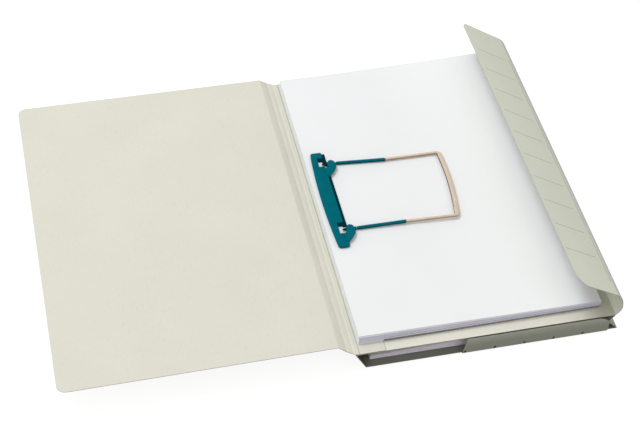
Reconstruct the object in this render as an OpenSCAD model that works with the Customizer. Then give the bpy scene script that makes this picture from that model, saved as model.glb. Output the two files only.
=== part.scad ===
// One-flap folder of light card for A4 sheets, lying open.
// X runs from the spine to the closing flap, Y from the near edge to the far edge, Z up.
// The origin is the middle of the back panel's underside, which lies on the table.

/* [Format] */
// Width of a sheet
sheet_w = 210; // [180:1:260]
// Length of a sheet
sheet_len = 297; // [250:1:360]

/* [Card] */
// Thickness of the card
card_t = 0.6; // [0.4:0.1:0.7]
// How much longer the card panels are than a sheet
panel_margin = 17; // [10:1:40]
// Radius of the bead that a scored crease raises
bead_r = 0.4; // [0.36:0.02:0.5]
// Clearance between a crease bead and the next panel
crease_gap = 0.3; // [0.2:0.05:0.5]

/* [Front cover] */
// How much wider the front cover is than a sheet
cover_margin = 13; // [4:1:30]
// Radius of the cover's two free corners
cover_corner_r = 7; // [2:0.5:20]
// How far the open cover droops below level, in degrees
cover_droop = 0.8; // [0:0.1:5]
// How much shorter the cover is than the divider, at each end
cover_trim = 2.2; // [0:0.2:6]

/* [Spine] */
// Width of the scored strip next to the divider
spine_inner_w = 3; // [2.6:0.2:8]
// Width of the scored strip in the middle of the spine
spine_middle_w = 6.6; // [5:0.2:12]
// Width of the scored strip next to the cover
spine_outer_w = 8.6; // [5:0.2:12]
// Slope of the inner strip above level, in degrees
spine_inner_slope = 26; // [15:1:45]
// Slope of the middle strip above level, in degrees
spine_middle_slope = 32; // [15:1:45]
// Slope of the outer strip above level, in degrees
spine_outer_slope = 40; // [15:1:50]

/* [Divider] */
// How much wider the divider is than a sheet
divider_margin = 14.8; // [9:0.2:20]
// Height of the divider's middle plane above the table
pocket_h = 19.8; // [18.6:0.2:23]
// How far the divider's left edge stands out past the back panel
divider_shift = 10.2; // [6:0.2:14]
// Width of the glued flange of the cover sheet on the divider
glue_flange_w = 24.8; // [22.8:0.2:32]
// Diameter of the holes that the prongs pass through
hole_d = 6; // [5:0.1:7]

/* [Closing flap] */
// Width of the lower strip of the flap's side wall
wall_lower_w = 14; // [10:0.5:20]
// Width of the upper strip of the flap's side wall
wall_upper_w = 16; // [10:0.5:20]
// Width of the flap
flap_w = 50.5; // [40:0.5:70]
// Direction of the lower strip above the right, in degrees
wall_lower_dir = 77.6; // [70:0.2:95]
// Direction of the upper strip above the right, in degrees
wall_upper_dir = 119.6; // [100:0.2:130]
// Direction of the flap above the right, in degrees
flap_dir = 147.4; // [135:0.2:160]
// Radius of the flap's far free corner
flap_far_r = 6; // [2:0.5:20]
// Radius of the flap's near free corner
flap_near_r = 13; // [2:0.5:25]

/* [Pocket] */
// How much wider the back panel is than a sheet
back_margin = 10; // [6:0.5:14]
// Clearance between a gusset's top edge and the flange above it
gusset_gap = 0.9; // [0.6:0.1:1.5]
// Width of the right flange glued under the divider
right_flange_w = 12; // [6:0.5:20]
// How far the right gusset's fold stands in from the back panel's edge
fold_in = 10.6; // [6:0.2:14]
// Height of that fold above the table
fold_h = 11.5; // [9:0.2:13]
// Width of the pocket flap at the near edge
pocket_flap_w = 129; // [115:1:140]
// Gap between the pocket flap and the back panel's right edge
pocket_flap_gap = 9; // [2:0.5:30]
// Height of the pocket flap
pocket_flap_h = 18.6; // [10:0.2:18.6]
// Slant of the pocket flap's left end
pocket_flap_slant = 2; // [0:0.2:6]
// Radius of the pocket flap's top right corner
pocket_flap_r = 11.5; // [2:0.5:12]
// Number of nicks along the pocket flap's crease
nick_count = 5; // [1:1:5]
// Distance between the nicks
nick_pitch = 26; // [10:0.5:26]
// Length of a nick along the crease
nick_len = 1.4; // [0.6:0.1:3]
// Height of a nick
nick_h = 0.9; // [0.4:0.1:1.5]

/* [Sheets] */
// How far the filed sheets lie past the middle, towards the far edge
sheet_shift = 3.5; // [0:0.5:5]
// Gap between the spine crease and the filed sheets
sheet_margin = 4.2; // [3.8:0.2:6]
// Thickness of the filed sheets at the spine side
filed_left_t = 9; // [5:0.2:14]
// Thickness of the filed sheets at the flap side
filed_right_t = 5.8; // [4:0.2:8]
// Distance over which the filed sheets come down off the glued flange
settle_len = 90; // [30:5:120]
// Thickness of the loose sheets at the left
loose_left_t = 5.4; // [3:0.2:8]
// Thickness of the loose sheets in the middle
loose_middle_t = 8; // [4:0.2:10]
// Thickness of the loose sheets at the right
loose_right_t = 3.6; // [2.5:0.1:5]
// Distance over which the loose sheets thicken from each side
loose_slope_len = 70; // [30:1:85]
// Gap between the loose sheets and the back panel's left crease
loose_side = 3.2; // [1:0.2:4]
// Gap between the loose sheets' near edge and the pocket flap
loose_margin = 8; // [4:0.5:10]

/* [Clip] */
// Distance between the two prongs
prong_pitch = 80; // [70:1:84]
// Distance of the prongs from the filed sheets' left edge
prong_inset = 12; // [11.5:0.1:13]
// Diameter of a prong
prong_d = 2.5; // [2:0.1:3]
// Bend radius of a prong over the sheets
prong_bend = 2.5; // [2:0.1:3]
// Length of a prong from the hook to the loop
prong_reach = 43; // [30:1:60]
// Width of the base strip under the divider
base_w = 12; // [8:0.5:14]
// Length of the base strip
base_len = 104; // [96:1:120]
// Thickness of the base strip
base_t = 1.2; // [0.8:0.1:2]
// Length of the top bar past the near prong
bar_near = 15; // [14:0.5:25]
// Length of the top bar past the far prong
bar_far = 14; // [12:0.5:25]
// Width of the top bar at its middle
bar_w = 13.5; // [12:0.5:16]
// Width of the top bar at its ends
bar_end_w = 11; // [9:0.5:11.5]
// Thickness of the top bar
bar_t = 2.6; // [2:0.1:3.5]
// Distance from a prong to the bar's straight edge
bar_edge = 5; // [3.5:0.1:6]
// Reach of a hook past the bar's straight edge
hook_reach = 8.6; // [8.5:0.1:12]
// Length of a hook's root along the bar
hook_root = 12; // [10:0.5:12]
// Radius of a hook's round head
hook_head_r = 4; // [3:0.1:4.2]
// Thickness of a hook's head over the prong
hook_head_t = 1.9; // [1.2:0.1:3]
// How far the bar slides to free the prongs
bar_travel = 6.5; // [4:0.5:8]
// Diameter of the loop
loop_d = 3; // [2.6:0.1:4]
// Radius of the loop's two corners
loop_corner_r = 5; // [4:0.5:10]
// Length of the loop's straight legs
loop_leg = 42; // [30:0.5:70]
// Length of the loop's pins inside the prongs
pin_len = 12; // [6:1:20]
// Wall of a prong around the loop's pin
pin_wall = 0.3; // [0.2:0.05:0.35]
// Clearance around the loop's pins
pin_gap = 0.3; // [0.2:0.05:0.35]
// Clearance around moving clip pieces
clip_gap = 0.35; // [0.25:0.05:0.6]

/* [Hidden] */
$fn = 48;

// Colours of the card, its shaded inside, the sheets and the clip
card_colour = [0.87, 0.87, 0.82];
inside_colour = [0.62, 0.63, 0.57];
paper_colour = [0.94, 0.945, 0.95];
teal = [0.0, 0.41, 0.47];
beige = [0.83, 0.76, 0.65];

// How far a cutter runs past what it cuts, and a joined solid into its neighbour
overrun = 1;
// Height of the pocket's beads and of the loose sheets above what they lie on
rest_gap = 0.05;
// Shares of the thickness that lie below each bundle's faces
filed_shares = [0, 0.4, 0.73, 1];
loose_shares = [0, 0.55, 1];

// A point a width away along a direction, both in the X-Z plane
function along(p, w, dir) = [p[0] + w * cos(dir), p[1] + w * sin(dir)];
function span(p, q) = norm(q - p);
function heading(p, q) = atan2(q[1] - p[1], q[0] - p[0]);

// Sizes of the panels and their shared edges
panel_len = sheet_len + panel_margin;
cover_w = sheet_w + cover_margin;
divider_w = sheet_w + divider_margin;
back_w = sheet_w + back_margin;
near_y = -panel_len / 2;
far_y = panel_len / 2;
back_left = -back_w / 2;
back_right = back_w / 2;
divider_left = back_left - divider_shift;
divider_right = divider_left + divider_w;
divider_top = pocket_h + card_t / 2;
divider_under = pocket_h - card_t / 2;
flange_top = divider_top + card_t;
flange_under = divider_under - card_t;
flange_end = divider_left + glue_flange_w;
panel_start = bead_r + crease_gap;

// Creases of the spine, from the divider out
crease_divider = [divider_left, pocket_h + card_t];
crease_inner = along(crease_divider, spine_inner_w, 180 - spine_inner_slope);
crease_middle = along(crease_inner, spine_middle_w, 180 - spine_middle_slope);
crease_cover = along(crease_middle, spine_outer_w, 180 - spine_outer_slope);

// How far the cover sheet's ends have run in at the creases inside the spine
spine_w = spine_inner_w + spine_middle_w + spine_outer_w;
trim_inner = cover_trim * spine_inner_w / spine_w;
trim_middle = cover_trim * (spine_inner_w + spine_middle_w) / spine_w;

// Creases of the closing flap, from the divider up
crease_wall = [divider_right, pocket_h];
crease_bulge = along(crease_wall, wall_lower_w, wall_lower_dir);
crease_flap = along(crease_bulge, wall_upper_w, wall_upper_dir);

// Creases of the pocket, on the back panel
back_bead_z = bead_r + rest_gap;
crease_left = [back_left, back_bead_z];
crease_right = [back_right, back_bead_z];
left_gusset_top = [divider_left - card_t, flange_under - gusset_gap];
crease_fold = [back_right - fold_in, fold_h];
right_gusset_top = [divider_right - card_t, flange_under - gusset_gap];
near_crease_y = near_y - bead_r - card_t;
tab_x1 = back_right - pocket_flap_gap;
tab_x0 = tab_x1 - pocket_flap_w;

// Filed and loose sheets
filed_x = divider_left + sheet_margin;
filed_top = flange_top + filed_left_t;
loose_x = back_left + loose_side;
loose_y = near_y + loose_margin;
loose_under = card_t + rest_gap;

// Clip
prong_x = filed_x + prong_inset;
prong_r = prong_d / 2;
prong_z = filed_top + clip_gap + prong_r;
prong_side = prong_r + clip_gap;
base_left = prong_x - base_w / 2;
bar_right = prong_x + bar_edge;
bar_y0 = -prong_pitch / 2 - bar_near;
bar_y1 = prong_pitch / 2 + bar_far;
bar_z = filed_top + clip_gap / 2;
hook_top = prong_z + prong_side + hook_head_t;
knuckle_r = prong_r + rest_gap;
knuckle_x = bar_right + hook_reach + clip_gap + knuckle_r;
prong_start = knuckle_x + knuckle_r + clip_gap;
prong_end = prong_start + prong_reach;
loop_start = prong_end + clip_gap;
pin_r = prong_r - pin_wall - pin_gap;

// Puts a panel's own frame on a crease, with its width running along a direction
module on_crease(crease, dir) {
    translate([crease[0], 0, crease[1]]) rotate([0, -dir, 0]) children();
}

// Bead of a crease along Y, with both ends run in by a trim
module bead(trim = 0) {
    rotate([90, 0, 0]) cylinder(r = bead_r, h = panel_len - 2 * trim, center = true);
}

// Panel from just past its own crease to the next crease, where it may carry a bead.
// Its ends run in by one trim at its own crease and by another at the next.
module panel(w, start = panel_start, has_bead = true, own_trim = 0, next_trim = 0) {
    linear_extrude(card_t, center = true) polygon([
        [start, near_y + own_trim], [w, near_y + next_trim], [w, far_y - next_trim], [start, far_y - own_trim]
    ]);
    if (has_bead) translate([w, 0, 0]) bead(next_trim);
}

// Waste outside a round corner whose centre and turn are given
module corner_waste(x, y, r, turn) {
    translate([x, y]) rotate(turn) difference() {
        square(r + overrun);
        circle(r);
    }
}

// Panel whose free edge has two round corners
module free_panel(w, near_r, far_r, trim = 0) {
    linear_extrude(card_t, center = true) difference() {
        translate([panel_start, near_y + trim]) square([w - panel_start, panel_len - 2 * trim]);
        corner_waste(w - near_r, near_y + trim + near_r, near_r, -90);
        corner_waste(w - far_r, far_y - trim - far_r, far_r, 0);
    }
}

// Block of sheets given by its X-Z outline
module bundle(points, y_mid) {
    translate([0, y_mid, 0]) rotate([90, 0, 0]) linear_extrude(sheet_len, center = true) polygon(points);
}

// Cutters for the holes that the prongs pass through, between two heights
module prong_holes(z0, z1) {
    for (s = [-1, 1])
        translate([prong_x, s * prong_pitch / 2, z0 - overrun]) cylinder(d = hole_d, h = z1 - z0 + 2 * overrun);
}

// Card pieces of the cover sheet
module front_cover() {
    color(card_colour) on_crease(crease_cover, 180 + cover_droop)
        free_panel(cover_w, cover_corner_r, cover_corner_r, cover_trim);
}

module spine_strip_outer() {
    color(card_colour) on_crease(crease_middle, 180 - spine_outer_slope)
        panel(spine_outer_w, own_trim = trim_middle, next_trim = cover_trim);
}

module spine_strip_middle() {
    color(card_colour) on_crease(crease_inner, 180 - spine_middle_slope)
        panel(spine_middle_w, own_trim = trim_inner, next_trim = trim_middle);
}

module spine_strip_inner() {
    color(card_colour) on_crease(crease_divider, 180 - spine_inner_slope)
        panel(spine_inner_w, next_trim = trim_inner);
}

module glue_flange() {
    color(card_colour) difference() {
        union() {
            translate([divider_left, near_y, divider_top]) cube([glue_flange_w, panel_len, card_t]);
            on_crease(crease_divider, 0) bead();
        }
        prong_holes(divider_top, flange_top);
    }
}

// Card pieces of the divider sheet; the plate starts beside the bead of the flange on it
module divider() {
    color(card_colour) difference() {
        union() {
            translate([divider_left + bead_r, near_y, divider_under])
                cube([divider_w - bead_r, panel_len, card_t]);
            on_crease(crease_wall, 0) bead();
        }
        prong_holes(divider_under, divider_top);
    }
}

module flap_wall_lower() {
    color(card_colour) on_crease(crease_wall, wall_lower_dir) panel(wall_lower_w);
}

module flap_wall_upper() {
    color(card_colour) on_crease(crease_bulge, wall_upper_dir) panel(wall_upper_w);
}

module closing_flap() {
    color(card_colour) on_crease(crease_flap, flap_dir) free_panel(flap_w, flap_near_r, flap_far_r);
}

// Card pieces of the pocket
module back_panel() {
    color(inside_colour) union() {
        translate([back_left, near_y, 0]) cube([back_w, panel_len, card_t]);
        translate([tab_x0, near_crease_y, 0]) cube([pocket_flap_w, near_y - near_crease_y + overrun, card_t]);
        on_crease(crease_left, 0) bead();
        on_crease(crease_right, 0) bead();
        translate([tab_x0, near_crease_y, back_bead_z]) rotate([0, 90, 0]) cylinder(r = bead_r, h = pocket_flap_w);
    }
}

module left_gusset() {
    color(inside_colour) on_crease(crease_left, heading(crease_left, left_gusset_top))
        panel(span(crease_left, left_gusset_top), has_bead = false);
}

// Left flange, as wide as the clip's base strip beside it allows
module left_gusset_flange() {
    color(inside_colour) translate([divider_left, near_y, flange_under])
        cube([base_left - clip_gap - divider_left, panel_len, card_t]);
}

// Lower half of the right gusset; it starts further up, so that its narrow angle can close
module right_gusset_lower() {
    color(inside_colour) on_crease(crease_right, heading(crease_right, crease_fold))
        panel(span(crease_right, crease_fold), start = 2 * panel_start);
}

module right_gusset_upper() {
    color(inside_colour) on_crease(crease_fold, heading(crease_fold, right_gusset_top))
        panel(span(crease_fold, right_gusset_top), has_bead = false);
}

module right_gusset_flange() {
    color(inside_colour) translate([divider_right - right_flange_w, near_y, flange_under])
        cube([right_flange_w - bead_r, panel_len, card_t]);
}

module pocket_flap() {
    color(inside_colour) translate([0, near_crease_y, back_bead_z]) rotate([90, 0, 0])
        linear_extrude(card_t, center = true) difference() {
            polygon([
                [tab_x0, panel_start], [tab_x1, panel_start],
                [tab_x1, pocket_flap_h], [tab_x0 + pocket_flap_slant, pocket_flap_h]
            ]);
            corner_waste(tab_x1 - pocket_flap_r, pocket_flap_h - pocket_flap_r, pocket_flap_r, 0);
            for (i = [0 : nick_count - 1])
                translate([tab_x0 + nick_len + i * nick_pitch, panel_start - nick_h]) square([nick_len, 2 * nick_h]);
        }
}

// Filed bundle n, counted from the bottom, punched for the prongs
module filed_bundle(n) {
    left0 = flange_top + filed_left_t * filed_shares[n];
    left1 = flange_top + filed_left_t * filed_shares[n + 1];
    right0 = divider_top + filed_right_t * filed_shares[n];
    right1 = divider_top + filed_right_t * filed_shares[n + 1];
    x1 = filed_x + sheet_w;
    x_settled = flange_end + settle_len;
    slope_share = (x1 - x_settled) / (x1 - flange_end);
    settled0 = n == 0 ? divider_top : right0 + (left0 - right0) * slope_share;
    settled1 = right1 + (left1 - right1) * slope_share;
    color(paper_colour) difference() {
        bundle([
            [filed_x, left0], [flange_end, left0], [x_settled, settled0], [x1, right0],
            [x1, right1], [x_settled, settled1], [flange_end, left1], [filed_x, left1]
        ], sheet_shift);
        prong_holes(left0, left1);
    }
}

module filed_sheets_bottom() { filed_bundle(0); }
module filed_sheets_middle() { filed_bundle(1); }
module filed_sheets_top() { filed_bundle(2); }

// Loose bundle n in the pocket, thickest over its middle
module loose_bundle(n) {
    x1 = loose_x + sheet_w;
    low = loose_shares[n];
    high = loose_shares[n + 1];
    color(paper_colour) translate([0, 0, loose_under]) bundle([
        [loose_x, loose_left_t * low], [loose_x + loose_slope_len, loose_middle_t * low],
        [x1 - loose_slope_len, loose_middle_t * low], [x1, loose_right_t * low],
        [x1, loose_right_t * high], [x1 - loose_slope_len, loose_middle_t * high],
        [loose_x + loose_slope_len, loose_middle_t * high], [loose_x, loose_left_t * high]
    ], loose_y + sheet_len / 2);
}

module loose_sheets_bottom() { loose_bundle(0); }
module loose_sheets_top() { loose_bundle(1); }

// Base strip under the divider, with the two prongs up to the knuckles beside the hooks
module clip_base() {
    color(teal) union() {
        translate([base_left, -base_len / 2, divider_under - base_t]) cube([base_w, base_len, base_t]);
        for (s = [-1, 1])
            translate([0, s * prong_pitch / 2, 0]) prong_root();
    }
}

module prong_root() {
    rise = prong_z - prong_bend;
    root_z = divider_under - base_t / 2;
    translate([prong_x, 0, root_z]) cylinder(r = prong_r, h = rise - root_z);
    translate([prong_x + prong_bend, 0, rise]) rotate([90, 0, 0])
        rotate_extrude(angle = 90, start = 90) translate([prong_bend, 0]) circle(prong_r);
    translate([prong_x + prong_bend, 0, prong_z]) rotate([0, 90, 0])
        cylinder(r = prong_r, h = knuckle_x - prong_x - prong_bend);
    translate([knuckle_x, 0, prong_z]) rotate([90, 0, 0]) cylinder(r = knuckle_r, h = prong_d, center = true);
}

// Top bar with a bowed spine side, two notches for the prongs and a hook beside each
module clip_bar() {
    bow = bar_w - bar_end_w;
    half = (bar_y1 - bar_y0) / 2;
    bow_r = (half * half + bow * bow) / (2 * bow);
    notch_len = bar_travel + 2 * prong_side;
    color(teal) union() {
        translate([0, 0, bar_z]) linear_extrude(bar_t) difference() {
            intersection() {
                translate([bar_right - bar_w, bar_y0]) square([bar_w, 2 * half]);
                translate([bar_right - bar_w + bow_r, bar_y0 + half]) circle(bow_r, $fn = 360);
            }
            for (s = [-1, 1])
                translate([prong_x - prong_side, s * prong_pitch / 2 - prong_side]) square([bar_w, notch_len]);
        }
        for (s = [-1, 1])
            translate([bar_right, s * prong_pitch / 2, 0]) hook();
    }
}

// Hook that grows from the bar's straight edge and reaches over the prong with a round head
module hook() {
    root = prong_side + hook_root;
    head_x = hook_reach - hook_head_r;
    neck_x = head_x - hook_head_r * 0.6;
    cheek = prong_side + hook_head_r / 2;
    translate([0, 0, bar_z]) linear_extrude(hook_top - bar_z) polygon([
        [-overrun, -root], [2 * overrun, -root], [hook_reach, -cheek], [hook_reach, -prong_side],
        [neck_x, -prong_side], [-overrun, -cheek - overrun]
    ]);
    translate([0, 0, hook_top - hook_head_t]) linear_extrude(hook_head_t) union() {
        translate([head_x, 0]) circle(hook_head_r);
        polygon([[neck_x, -cheek], [hook_reach, -cheek], [hook_reach, 0], [neck_x, 0]]);
    }
}

// Free length of a prong, bored for the loop's pin
module prong(s) {
    bore_len = pin_len + overrun;
    color(teal) translate([prong_start, s * prong_pitch / 2, prong_z]) rotate([0, 90, 0]) difference() {
        cylinder(r = prong_r, h = prong_reach);
        translate([0, 0, prong_reach - bore_len]) cylinder(r = pin_r + pin_gap, h = bore_len + overrun);
    }
}

module prong_far() { prong(1); }
module prong_near() { prong(-1); }

// U-shaped loop that joins the prongs' ends
module transfer_loop() {
    r = loop_d / 2;
    half = prong_pitch / 2;
    color(beige) translate([loop_start, 0, prong_z]) union() {
        for (s = [-1, 1]) {
            translate([0, s * half, 0]) rotate([0, 90, 0]) cylinder(r = r, h = loop_leg);
            translate([-pin_len, s * half, 0]) rotate([0, 90, 0]) cylinder(r = pin_r, h = pin_len + overrun);
            translate([loop_leg, s * (half - loop_corner_r), 0])
                rotate_extrude(angle = 90, start = s > 0 ? 0 : 270) translate([loop_corner_r, 0]) circle(r);
        }
        translate([loop_leg + loop_corner_r, 0, 0]) rotate([90, 0, 0])
            cylinder(r = r, h = 2 * (half - loop_corner_r), center = true);
    }
}

front_cover();
spine_strip_outer();
spine_strip_middle();
spine_strip_inner();
glue_flange();
divider();
flap_wall_lower();
flap_wall_upper();
closing_flap();
back_panel();
left_gusset();
left_gusset_flange();
right_gusset_lower();
right_gusset_upper();
right_gusset_flange();
pocket_flap();
clip_base();
clip_bar();
prong_far();
prong_near();
transfer_loop();
filed_sheets_bottom();
filed_sheets_middle();
filed_sheets_top();
loose_sheets_bottom();
loose_sheets_top();
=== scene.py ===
import math
import random
import bmesh
import bpy
from mathutils import Matrix, Vector


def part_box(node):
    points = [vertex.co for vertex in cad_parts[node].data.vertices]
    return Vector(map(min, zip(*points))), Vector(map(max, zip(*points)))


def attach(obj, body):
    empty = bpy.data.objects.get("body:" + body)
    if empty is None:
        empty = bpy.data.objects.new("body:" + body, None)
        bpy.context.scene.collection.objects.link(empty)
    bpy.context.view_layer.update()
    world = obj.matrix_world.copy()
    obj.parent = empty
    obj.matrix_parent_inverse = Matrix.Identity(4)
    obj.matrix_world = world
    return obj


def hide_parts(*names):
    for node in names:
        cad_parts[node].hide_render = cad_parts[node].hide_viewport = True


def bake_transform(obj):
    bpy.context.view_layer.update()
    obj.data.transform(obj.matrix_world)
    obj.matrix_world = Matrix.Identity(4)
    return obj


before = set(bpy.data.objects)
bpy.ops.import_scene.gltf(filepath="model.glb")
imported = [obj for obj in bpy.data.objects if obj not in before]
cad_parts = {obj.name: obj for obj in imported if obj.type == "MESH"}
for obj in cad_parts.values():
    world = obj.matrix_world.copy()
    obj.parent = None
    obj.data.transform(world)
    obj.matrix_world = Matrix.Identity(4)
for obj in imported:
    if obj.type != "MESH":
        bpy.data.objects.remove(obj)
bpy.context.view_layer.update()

mm = 0.001
samePlace = 1e-6  # places closer than this count as one, in metres
weld = 1e-7
facing = 0.5  # a face looks along an axis when its normal has more than this of it
scene = bpy.context.scene
scene.view_settings.view_transform = "Standard"
dice = random.Random(41)


# small helpers for numbers, colours, nodes, shapes and finished pieces
def within(value):
    return min(max(value, 0), 1)


def ease(value):
    t = within(value)
    return t * t * (3 - 2 * t)


def srgb(red, green, blue):
    channels = []
    for value in (red, green, blue):
        c = value / 255
        channels.append(c / 12.92 if c <= 0.04045 else ((c + 0.055) / 1.055) ** 2.4)
    return (*channels, 1)


def startMaterial(name):
    material = bpy.data.materials.new(name)
    material.use_nodes = True
    nodes = material.node_tree.nodes
    links = material.node_tree.links
    shader = nodes["Principled BSDF"]
    place = nodes.new("ShaderNodeTexCoord")
    return material, nodes, links, shader, place


def noiseNode(nodes, links, place, scale, detail, stretch=(1, 1, 1)):
    mapping = nodes.new("ShaderNodeMapping")
    mapping.inputs["Scale"].default_value = stretch
    links.new(place.outputs["Object"], mapping.inputs["Vector"])
    noise = nodes.new("ShaderNodeTexNoise")
    noise.inputs["Scale"].default_value = scale
    noise.inputs["Detail"].default_value = detail
    links.new(mapping.outputs["Vector"], noise.inputs["Vector"])
    return noise


def rangeNode(nodes, links, source, low, high, fromLow=0.3, fromHigh=0.7):
    node = nodes.new("ShaderNodeMapRange")
    node.inputs["From Min"].default_value = fromLow
    node.inputs["From Max"].default_value = fromHigh
    node.inputs["To Min"].default_value = low
    node.inputs["To Max"].default_value = high
    links.new(source, node.inputs["Value"])
    return node.outputs["Result"]


def mixNode(nodes, links, factor, first, second):
    node = nodes.new("ShaderNodeMix")
    node.data_type = "RGBA"
    links.new(factor, node.inputs[0])
    for value, socket in ((first, node.inputs[6]), (second, node.inputs[7])):
        if isinstance(value, tuple):
            socket.default_value = value
        else:
            links.new(value, socket)
    return node.outputs[2]


def bumpNode(nodes, links, shader, height, strength, distance):
    bump = nodes.new("ShaderNodeBump")
    bump.inputs["Strength"].default_value = strength
    bump.inputs["Distance"].default_value = distance
    links.new(height, bump.inputs["Height"])
    links.new(bump.outputs["Normal"], shader.inputs["Normal"])


def roundOff(bm, geom, offset, segments, affect):
    bmesh.ops.bevel(bm, geom=geom, offset=offset, offset_type="OFFSET", segments=segments, profile=0.5,
                    affect=affect, material=-1)


def thicken(bm, height):
    # gives a flat shape its height and returns the raised corners
    grown = bmesh.ops.extrude_face_region(bm, geom=bm.faces[:])
    lifted = [g for g in grown["geom"] if isinstance(g, bmesh.types.BMVert)]
    bmesh.ops.translate(bm, vec=(0, 0, height), verts=lifted)
    return lifted


def cutAcross(bm, places, axis):
    normal = (1, 0, 0) if axis == "x" else (0, 1, 0)
    for p in places:
        point = (p, 0, 0) if axis == "x" else (0, p, 0)
        bmesh.ops.bisect_plane(bm, geom=bm.verts[:] + bm.edges[:] + bm.faces[:], dist=weld,
                               plane_co=point, plane_no=normal)


def finishPiece(name, bm, materials, body, nodes, sharp=35):
    bmesh.ops.remove_doubles(bm, verts=bm.verts[:], dist=weld)
    bmesh.ops.recalc_face_normals(bm, faces=bm.faces[:])
    mesh = bpy.data.meshes.new(name)
    bm.to_mesh(mesh)
    bm.free()
    for material in materials:
        mesh.materials.append(material)
    mesh.shade_smooth()
    mesh.set_sharp_from_angle(angle=math.radians(sharp))
    piece = bpy.data.objects.new(name, mesh)
    scene.collection.objects.link(piece)
    if body is not None:
        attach(piece, body)
    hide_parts(*nodes)
    return piece


# camera, set where the photograph was taken from
view = {"azimuth": -18.0, "elevation": 49.06, "roll": 6.124, "distance": 1.2309, "lens": 79.45, "sensor": 36,
        "clipStart": 0.01, "target": (-0.1143, -0.0056, 0.020)}
az = math.radians(view["azimuth"])
el = math.radians(view["elevation"])
roll = math.radians(view["roll"])
back = Vector((math.cos(el) * math.sin(az), -math.cos(el) * math.cos(az), math.sin(el)))
level = (-back).cross(Vector((0, 0, 1))).normalized()
upright = level.cross(-back)
right = math.cos(roll) * level + math.sin(roll) * upright
up = math.cos(roll) * upright - math.sin(roll) * level
cameraData = bpy.data.cameras.new("photoCamera")
cameraData.lens = view["lens"]
cameraData.sensor_width = view["sensor"]
cameraData.clip_start = view["clipStart"]
camera = bpy.data.objects.new("photoCamera", cameraData)
camera.matrix_world = Matrix((right, up, back)).transposed().to_4x4()
camera.location = Vector(view["target"]) + view["distance"] * back
scene.collection.objects.link(camera)
scene.camera = camera
print("camera set")

# soft studio light: a pale surround and one broad top light, over a pale floor
studio = {"surround": (1.0, 0.985, 0.95, 1), "surroundStrength": 0.66, "seen": (1, 1, 1, 1),
          "seenStrength": 1, "top": (0.93, 0.95, 1.0), "topPower": 24.4, "topSize": 0.8,
          "topPlace": (-0.95, 0.48, 2.3), "topAim": (-0.12, 0, 0.02), "floorHalf": 4, "floorZ": -0.0004,
          "floorShade": 0.25, "floorSeen": 0.25, "floorGlow": 0.89}


def seenDirectly(nodes, links):
    # 1 for the camera and for what metal or glass would show, else 0
    path = nodes.new("ShaderNodeLightPath")
    first = nodes.new("ShaderNodeMath")
    first.operation = "MAXIMUM"
    second = nodes.new("ShaderNodeMath")
    second.operation = "MAXIMUM"
    links.new(path.outputs["Is Camera Ray"], first.inputs[0])
    links.new(path.outputs["Is Glossy Ray"], first.inputs[1])
    links.new(first.outputs[0], second.inputs[0])
    links.new(path.outputs["Is Transmission Ray"], second.inputs[1])
    return second.outputs[0]


world = bpy.data.worlds.new("studio")
scene.world = world
world.use_nodes = True
worldNodes = world.node_tree.nodes
worldLinks = world.node_tree.links
background = worldNodes["Background"]
background.inputs["Color"].default_value = studio["surround"]
background.inputs["Strength"].default_value = studio["surroundStrength"]
whiteBack = worldNodes.new("ShaderNodeBackground")
whiteBack.inputs["Color"].default_value = studio["seen"]
whiteBack.inputs["Strength"].default_value = studio["seenStrength"]
worldMix = worldNodes.new("ShaderNodeMixShader")
worldLinks.new(seenDirectly(worldNodes, worldLinks), worldMix.inputs[0])
worldLinks.new(background.outputs[0], worldMix.inputs[1])
worldLinks.new(whiteBack.outputs[0], worldMix.inputs[2])
worldLinks.new(worldMix.outputs[0], worldNodes["World Output"].inputs["Surface"])

topData = bpy.data.lights.new("topLight", "AREA")
topData.shape = "DISK"
topData.size = studio["topSize"]
topData.energy = studio["topPower"]
topData.color = studio["top"]
topLight = bpy.data.objects.new("topLight", topData)
topLight.location = studio["topPlace"]
topAim = Vector(studio["topAim"]) - Vector(studio["topPlace"])
topLight.rotation_euler = topAim.to_track_quat("-Z", "Y").to_euler()
scene.collection.objects.link(topLight)

floorBm = bmesh.new()
bmesh.ops.create_grid(floorBm, x_segments=1, y_segments=1, size=studio["floorHalf"])
bmesh.ops.translate(floorBm, verts=floorBm.verts[:], vec=(0, 0, studio["floorZ"]))
floorMesh = bpy.data.meshes.new("floor")
floorBm.to_mesh(floorMesh)
floorBm.free()
floor = bpy.data.objects.new("floor", floorMesh)
scene.collection.objects.link(floor)
floorMaterial = bpy.data.materials.new("paleFloor")
floorMaterial.use_nodes = True
floorNodes = floorMaterial.node_tree.nodes
floorLinks = floorMaterial.node_tree.links
floorNodes.remove(floorNodes["Principled BSDF"])
floorShade = floorNodes.new("ShaderNodeBsdfDiffuse")
floorShade.inputs["Color"].default_value = (studio["floorShade"],) * 3 + (1,)
floorSeen = floorNodes.new("ShaderNodeBsdfDiffuse")
floorSeen.inputs["Color"].default_value = (studio["floorSeen"],) * 3 + (1,)
floorGlow = floorNodes.new("ShaderNodeEmission")
floorGlow.inputs["Strength"].default_value = studio["floorGlow"]
floorAdd = floorNodes.new("ShaderNodeAddShader")
floorMix = floorNodes.new("ShaderNodeMixShader")
floorLinks.new(floorSeen.outputs[0], floorAdd.inputs[0])
floorLinks.new(floorGlow.outputs[0], floorAdd.inputs[1])
floorLinks.new(seenDirectly(floorNodes, floorLinks), floorMix.inputs[0])
floorLinks.new(floorShade.outputs[0], floorMix.inputs[1])
floorLinks.new(floorAdd.outputs[0], floorMix.inputs[2])
floorLinks.new(floorMix.outputs[0], floorNodes["Material Output"].inputs["Surface"])
floorMesh.materials.append(floorMaterial)
print("studio set")

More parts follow.
